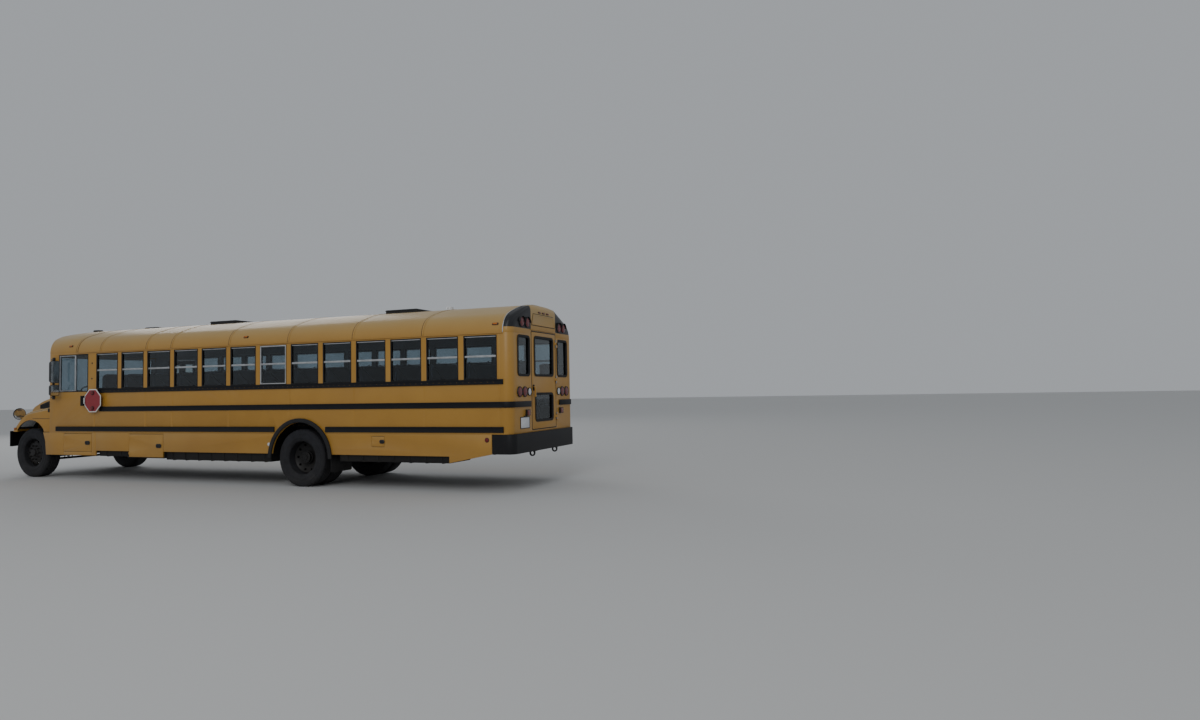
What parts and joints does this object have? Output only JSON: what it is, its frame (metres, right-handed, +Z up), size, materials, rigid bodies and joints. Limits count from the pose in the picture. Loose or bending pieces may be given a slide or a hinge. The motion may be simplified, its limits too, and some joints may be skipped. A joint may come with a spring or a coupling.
{
  "type": "school bus",
  "caption": "Long yellow school bus with a tilting front hood, folding entry door, rear emergency door, stop arm, roof hatches, seats and steered front wheels.",
  "frame": {"origin": "on the ground at the vehicle's mid-length and mid-width", "axes": "+X forward, +Y to the driver's (left) side, +Z up; parked on its wheels"},
  "size_m": [12.075, 2.95, 3.138],
  "materials": {
    "yellow": "gloss enamel",
    "white_roof": "gloss enamel",
    "white_plastic": "moulded",
    "black_floor": "ribbed mat",
    "black_steel": "satin enamel",
    "black_paint": "gloss enamel",
    "black_rubber": "matt",
    "black_plastic": "fine grain",
    "black_iron": "painted castings",
    "aluminium": "satin",
    "glass": "tinted",
    "clear_lens": "moulded lens",
    "red_lens": "moulded lens",
    "amber_lens": "moulded lens",
    "stop_red": "gloss enamel",
    "seat_vinyl": "coated fabric",
    "tyre": "matt"
  },
  "bodies": {
    "coach": {"rear_wall": "yellow", "rear_roof_cap": "yellow", "left_side_wall": "yellow", "right_side_wall": "yellow", "front_wall": "yellow", "roof": "yellow", "front_roof_cap": "yellow", "floor": "black_floor", "chassis_frame": "black_steel", "front_bumper": "black_steel", "rear_bumper": "black_steel", "skirt_panels": "yellow", "equipment_bays": "black_steel", "battery_packs": "black_steel", "rub_rails": "black_paint", "wheel_flares": "black_rubber", "body_glass": "glass", "window_sashes": "aluminium", "seat_cushions": "seat_vinyl", "seat_backs": "seat_vinyl", "seat_frames": "black_steel", "driver_seat": "seat_vinyl", "dashboard": "black_plastic", "steering_wheel": "black_plastic", "front_axle": "black_iron", "rear_axle": "black_iron", "leaf_springs": "black_steel", "drive_units": "aluminium", "stop_arm_bracket": "black_steel", "side_mirrors": "black_plastic", "red_lamps": "red_lens", "clear_lamps": "clear_lens"},
    "hood": {"hood_shell": "yellow", "hood_grille": "black_plastic", "headlamps": "clear_lens", "turn_signals": "amber_lens", "crossview_mirrors": "black_plastic"},
    "left_knuckle": {"knuckle_left": "black_iron"},
    "right_knuckle": {"knuckle_right": "black_iron"},
    "track_rod": {"tie_rod": "black_iron"},
    "front_left_wheel": {"front_tyre_left": "tyre", "front_rim_left": "black_paint"},
    "front_right_wheel": {"front_tyre_right": "tyre", "front_rim_right": "black_paint"},
    "rear_left_wheels": {"rear_tyres_left": "tyre", "rear_rims_left": "black_paint"},
    "rear_right_wheels": {"rear_tyres_right": "tyre", "rear_rims_right": "black_paint"},
    "entry_leaf_front": {"entry_door_front": "black_paint", "entry_glass_front": "glass"},
    "entry_leaf_rear": {"entry_door_rear": "black_paint", "entry_glass_rear": "glass"},
    "rear_exit": {"rear_door": "yellow", "rear_door_glass": "glass"},
    "stop_blade": {"stop_arm": "stop_red"},
    "front_hatch": {"roof_hatch_front": "black_plastic"},
    "rear_hatch": {"roof_hatch_rear": "black_plastic"},
    "front_bay_door": {"compartment_door_front": "yellow"},
    "middle_bay_door": {"compartment_door_middle": "yellow"},
    "charge_flap": {"charge_port_flap": "yellow"}
  },
  "joints": [
    {"name": "hood_tilt", "type": "hinge", "parent": "coach", "child": "hood", "pos_m": [5.9, 0, 0.985], "axis": [0, 1, 0], "range_deg": [0, 65]},
    {"name": "steer_left", "type": "hinge", "parent": "coach", "child": "left_knuckle", "pos_m": [5.135, 0.905, 0.5], "axis": [0, 0, 1], "range_deg": [-38, 38]},
    {"name": "steer_right", "type": "hinge", "parent": "coach", "child": "right_knuckle", "pos_m": [5.135, -0.905, 0.5], "axis": [0, 0, 1], "range_deg": [-38, 38]},
    {"name": "track_rod_turn", "type": "hinge", "parent": "left_knuckle", "child": "track_rod", "pos_m": [4.885, 0.8, 0.355], "axis": [0, 0, 1], "range_deg": [-38, 38]},
    {"name": "front_left_spin", "type": "hinge", "parent": "left_knuckle", "child": "front_left_wheel", "pos_m": [5.135, 1.03, 0.5], "axis": [0, 1, 0], "continuous": true},
    {"name": "front_right_spin", "type": "hinge", "parent": "right_knuckle", "child": "front_right_wheel", "pos_m": [5.135, -1.03, 0.5], "axis": [0, 1, 0], "continuous": true},
    {"name": "rear_left_spin", "type": "hinge", "parent": "coach", "child": "rear_left_wheels", "pos_m": [-1.875, 0.9, 0.5], "axis": [0, 1, 0], "continuous": true},
    {"name": "rear_right_spin", "type": "hinge", "parent": "coach", "child": "rear_right_wheels", "pos_m": [-1.875, -0.9, 0.5], "axis": [0, 1, 0], "continuous": true},
    {"name": "entry_front_swing", "type": "hinge", "parent": "coach", "child": "entry_leaf_front", "pos_m": [4.117, -1.233, 1.44], "axis": [0, 0, 1], "range_deg": [0, 90]},
    {"name": "entry_rear_swing", "type": "hinge", "parent": "coach", "child": "entry_leaf_rear", "pos_m": [3.303, -1.233, 1.44], "axis": [0, 0, 1], "range_deg": [-90, 0]},
    {"name": "rear_exit_swing", "type": "hinge", "parent": "coach", "child": "rear_exit", "pos_m": [-6.009, -0.487, 1.79], "axis": [0, 0, 1], "range_deg": [0, 110]},
    {"name": "stop_arm_swing", "type": "hinge", "parent": "coach", "child": "stop_blade", "pos_m": [3.452, 1.289, 1.557], "axis": [0, 0, -1], "range_deg": [0, 90]},
    {"name": "front_hatch_lift", "type": "hinge", "parent": "coach", "child": "front_hatch", "pos_m": [1.186, 0, 3.091], "axis": [0, 1, 0], "range_deg": [0, 80]},
    {"name": "rear_hatch_lift", "type": "hinge", "parent": "coach", "child": "rear_hatch", "pos_m": [-3.014, 0, 3.091], "axis": [0, 1, 0], "range_deg": [0, 80]},
    {"name": "front_bay_door_swing", "type": "hinge", "parent": "coach", "child": "front_bay_door", "pos_m": [4.105, 1.233, 0.724], "axis": [0, 0, -1], "range_deg": [0, 100]},
    {"name": "middle_bay_door_swing", "type": "hinge", "parent": "coach", "child": "middle_bay_door", "pos_m": [2.272, 1.233, 0.681], "axis": [0, 0, -1], "range_deg": [0, 100]},
    {"name": "charge_flap_swing", "type": "hinge", "parent": "coach", "child": "charge_flap", "pos_m": [-3.381, 1.233, 0.799], "axis": [0, 0, -1], "range_deg": [0, 100]}
  ],
  "couplings": [
    {"joint": "steer_right", "follows": "steer_left", "ratio": 1},
    {"joint": "track_rod_turn", "follows": "steer_left", "ratio": -1},
    {"joint": "entry_rear_swing", "follows": "entry_front_swing", "ratio": -1}
  ]
}
